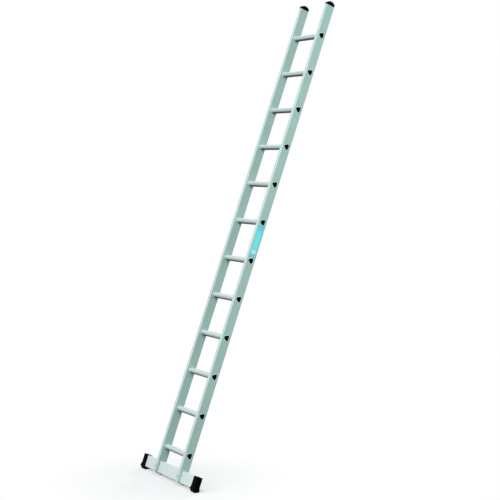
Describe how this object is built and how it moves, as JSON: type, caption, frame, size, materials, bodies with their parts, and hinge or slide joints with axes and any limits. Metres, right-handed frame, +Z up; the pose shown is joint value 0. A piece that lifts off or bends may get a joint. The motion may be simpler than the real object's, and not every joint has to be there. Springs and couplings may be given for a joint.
{
  "type": "leaning rung ladder",
  "caption": "Single-section aluminium leaning ladder: box-section stiles, hollow grooved rungs with black end plugs, domed top caps and a wide stabiliser bar on rubber shoes.",
  "frame": {"origin": "on the floor, midway between the middles of the two soles", "axes": "+Z up from the floor, +X along the stabiliser bar to the right-hand stile as seen by the climber, +Y from the climber towards the wall that the ladder leans on"},
  "size_m": [0.78, 1.2956, 3.3239],
  "materials": {
    "aluminium_extrusion": "mill-finished extrusion, satin",
    "black_plastic": "moulded, fine grain",
    "black_rubber": "moulded, matte",
    "label_film": "plain printed film, satin",
    "zinc_plated_steel": "bright zinc plating"
  },
  "bodies": {
    "root": {"left_rung_plug_01": "black_plastic", "left_rung_plug_02": "black_plastic", "left_rung_plug_03": "black_plastic", "left_rung_plug_04": "black_plastic", "left_rung_plug_05": "black_plastic", "left_rung_plug_06": "black_plastic", "left_rung_plug_07": "black_plastic", "left_rung_plug_08": "black_plastic", "left_rung_plug_09": "black_plastic", "left_rung_plug_10": "black_plastic", "left_rung_plug_11": "black_plastic", "left_rung_plug_12": "black_plastic", "left_shoe": "black_rubber", "left_stile": "aluminium_extrusion", "left_top_cap": "black_plastic", "right_rung_plug_01": "black_plastic", "right_rung_plug_02": "black_plastic", "right_rung_plug_03": "black_plastic", "right_rung_plug_04": "black_plastic", "right_rung_plug_05": "black_plastic", "right_rung_plug_06": "black_plastic", "right_rung_plug_07": "black_plastic", "right_rung_plug_08": "black_plastic", "right_rung_plug_09": "black_plastic", "right_rung_plug_10": "black_plastic", "right_rung_plug_11": "black_plastic", "right_rung_plug_12": "black_plastic", "right_shoe": "black_rubber", "right_stile": "aluminium_extrusion", "right_top_cap": "black_plastic", "rung_01": "aluminium_extrusion", "rung_02": "aluminium_extrusion", "rung_03": "aluminium_extrusion", "rung_04": "aluminium_extrusion", "rung_05": "aluminium_extrusion", "rung_06": "aluminium_extrusion", "rung_07": "aluminium_extrusion", "rung_08": "aluminium_extrusion", "rung_09": "aluminium_extrusion", "rung_10": "aluminium_extrusion", "rung_11": "aluminium_extrusion", "rung_12": "aluminium_extrusion", "stabiliser_bar": "aluminium_extrusion", "stabiliser_bolts": "zinc_plated_steel", "stabiliser_nuts": "zinc_plated_steel", "stabiliser_washers": "zinc_plated_steel"}
  },
  "joints": []
}
